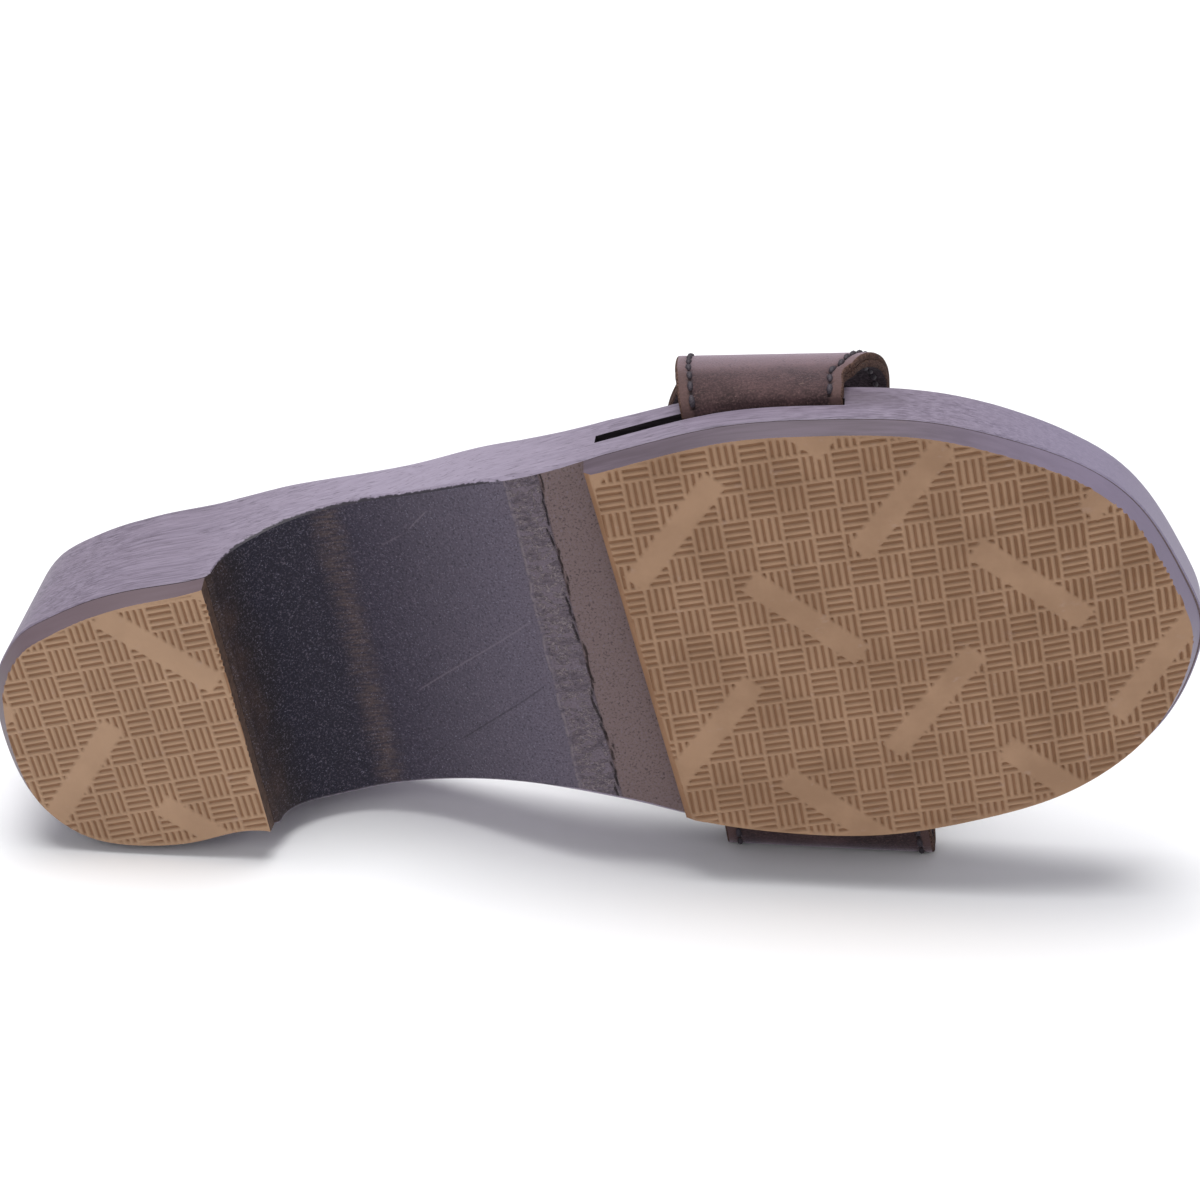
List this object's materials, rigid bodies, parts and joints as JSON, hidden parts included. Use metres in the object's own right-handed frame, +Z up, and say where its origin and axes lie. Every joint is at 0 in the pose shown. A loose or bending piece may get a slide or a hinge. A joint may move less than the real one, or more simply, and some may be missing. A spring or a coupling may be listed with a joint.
{
  "type": "footbed sandal",
  "caption": "Right slide sandal with a carved wooden sole and block heel, rubber treads under ball and heel, and a leather strap held in side slots, lying on its inner side.",
  "frame": {"origin": "middle of the footprint on the floor the shoe lies on", "axes": "+X from heel to toe, +Z up, towards the outer side of the lying shoe, -Y out of the underside of the sole"},
  "size_m": [0.2492, 0.068, 0.1084],
  "materials": {
    "stained_wood": "grey-brown stain, satin",
    "tan_rubber": "tan, ribbed in a basket weave, matt",
    "brown_leather": "dark brown nubuck, matt"
  },
  "bodies": {
    "root": {"wood_sole": "stained_wood", "forefoot_tread": "tan_rubber", "heel_tread": "tan_rubber", "strap": "brown_leather"}
  },
  "joints": []
}
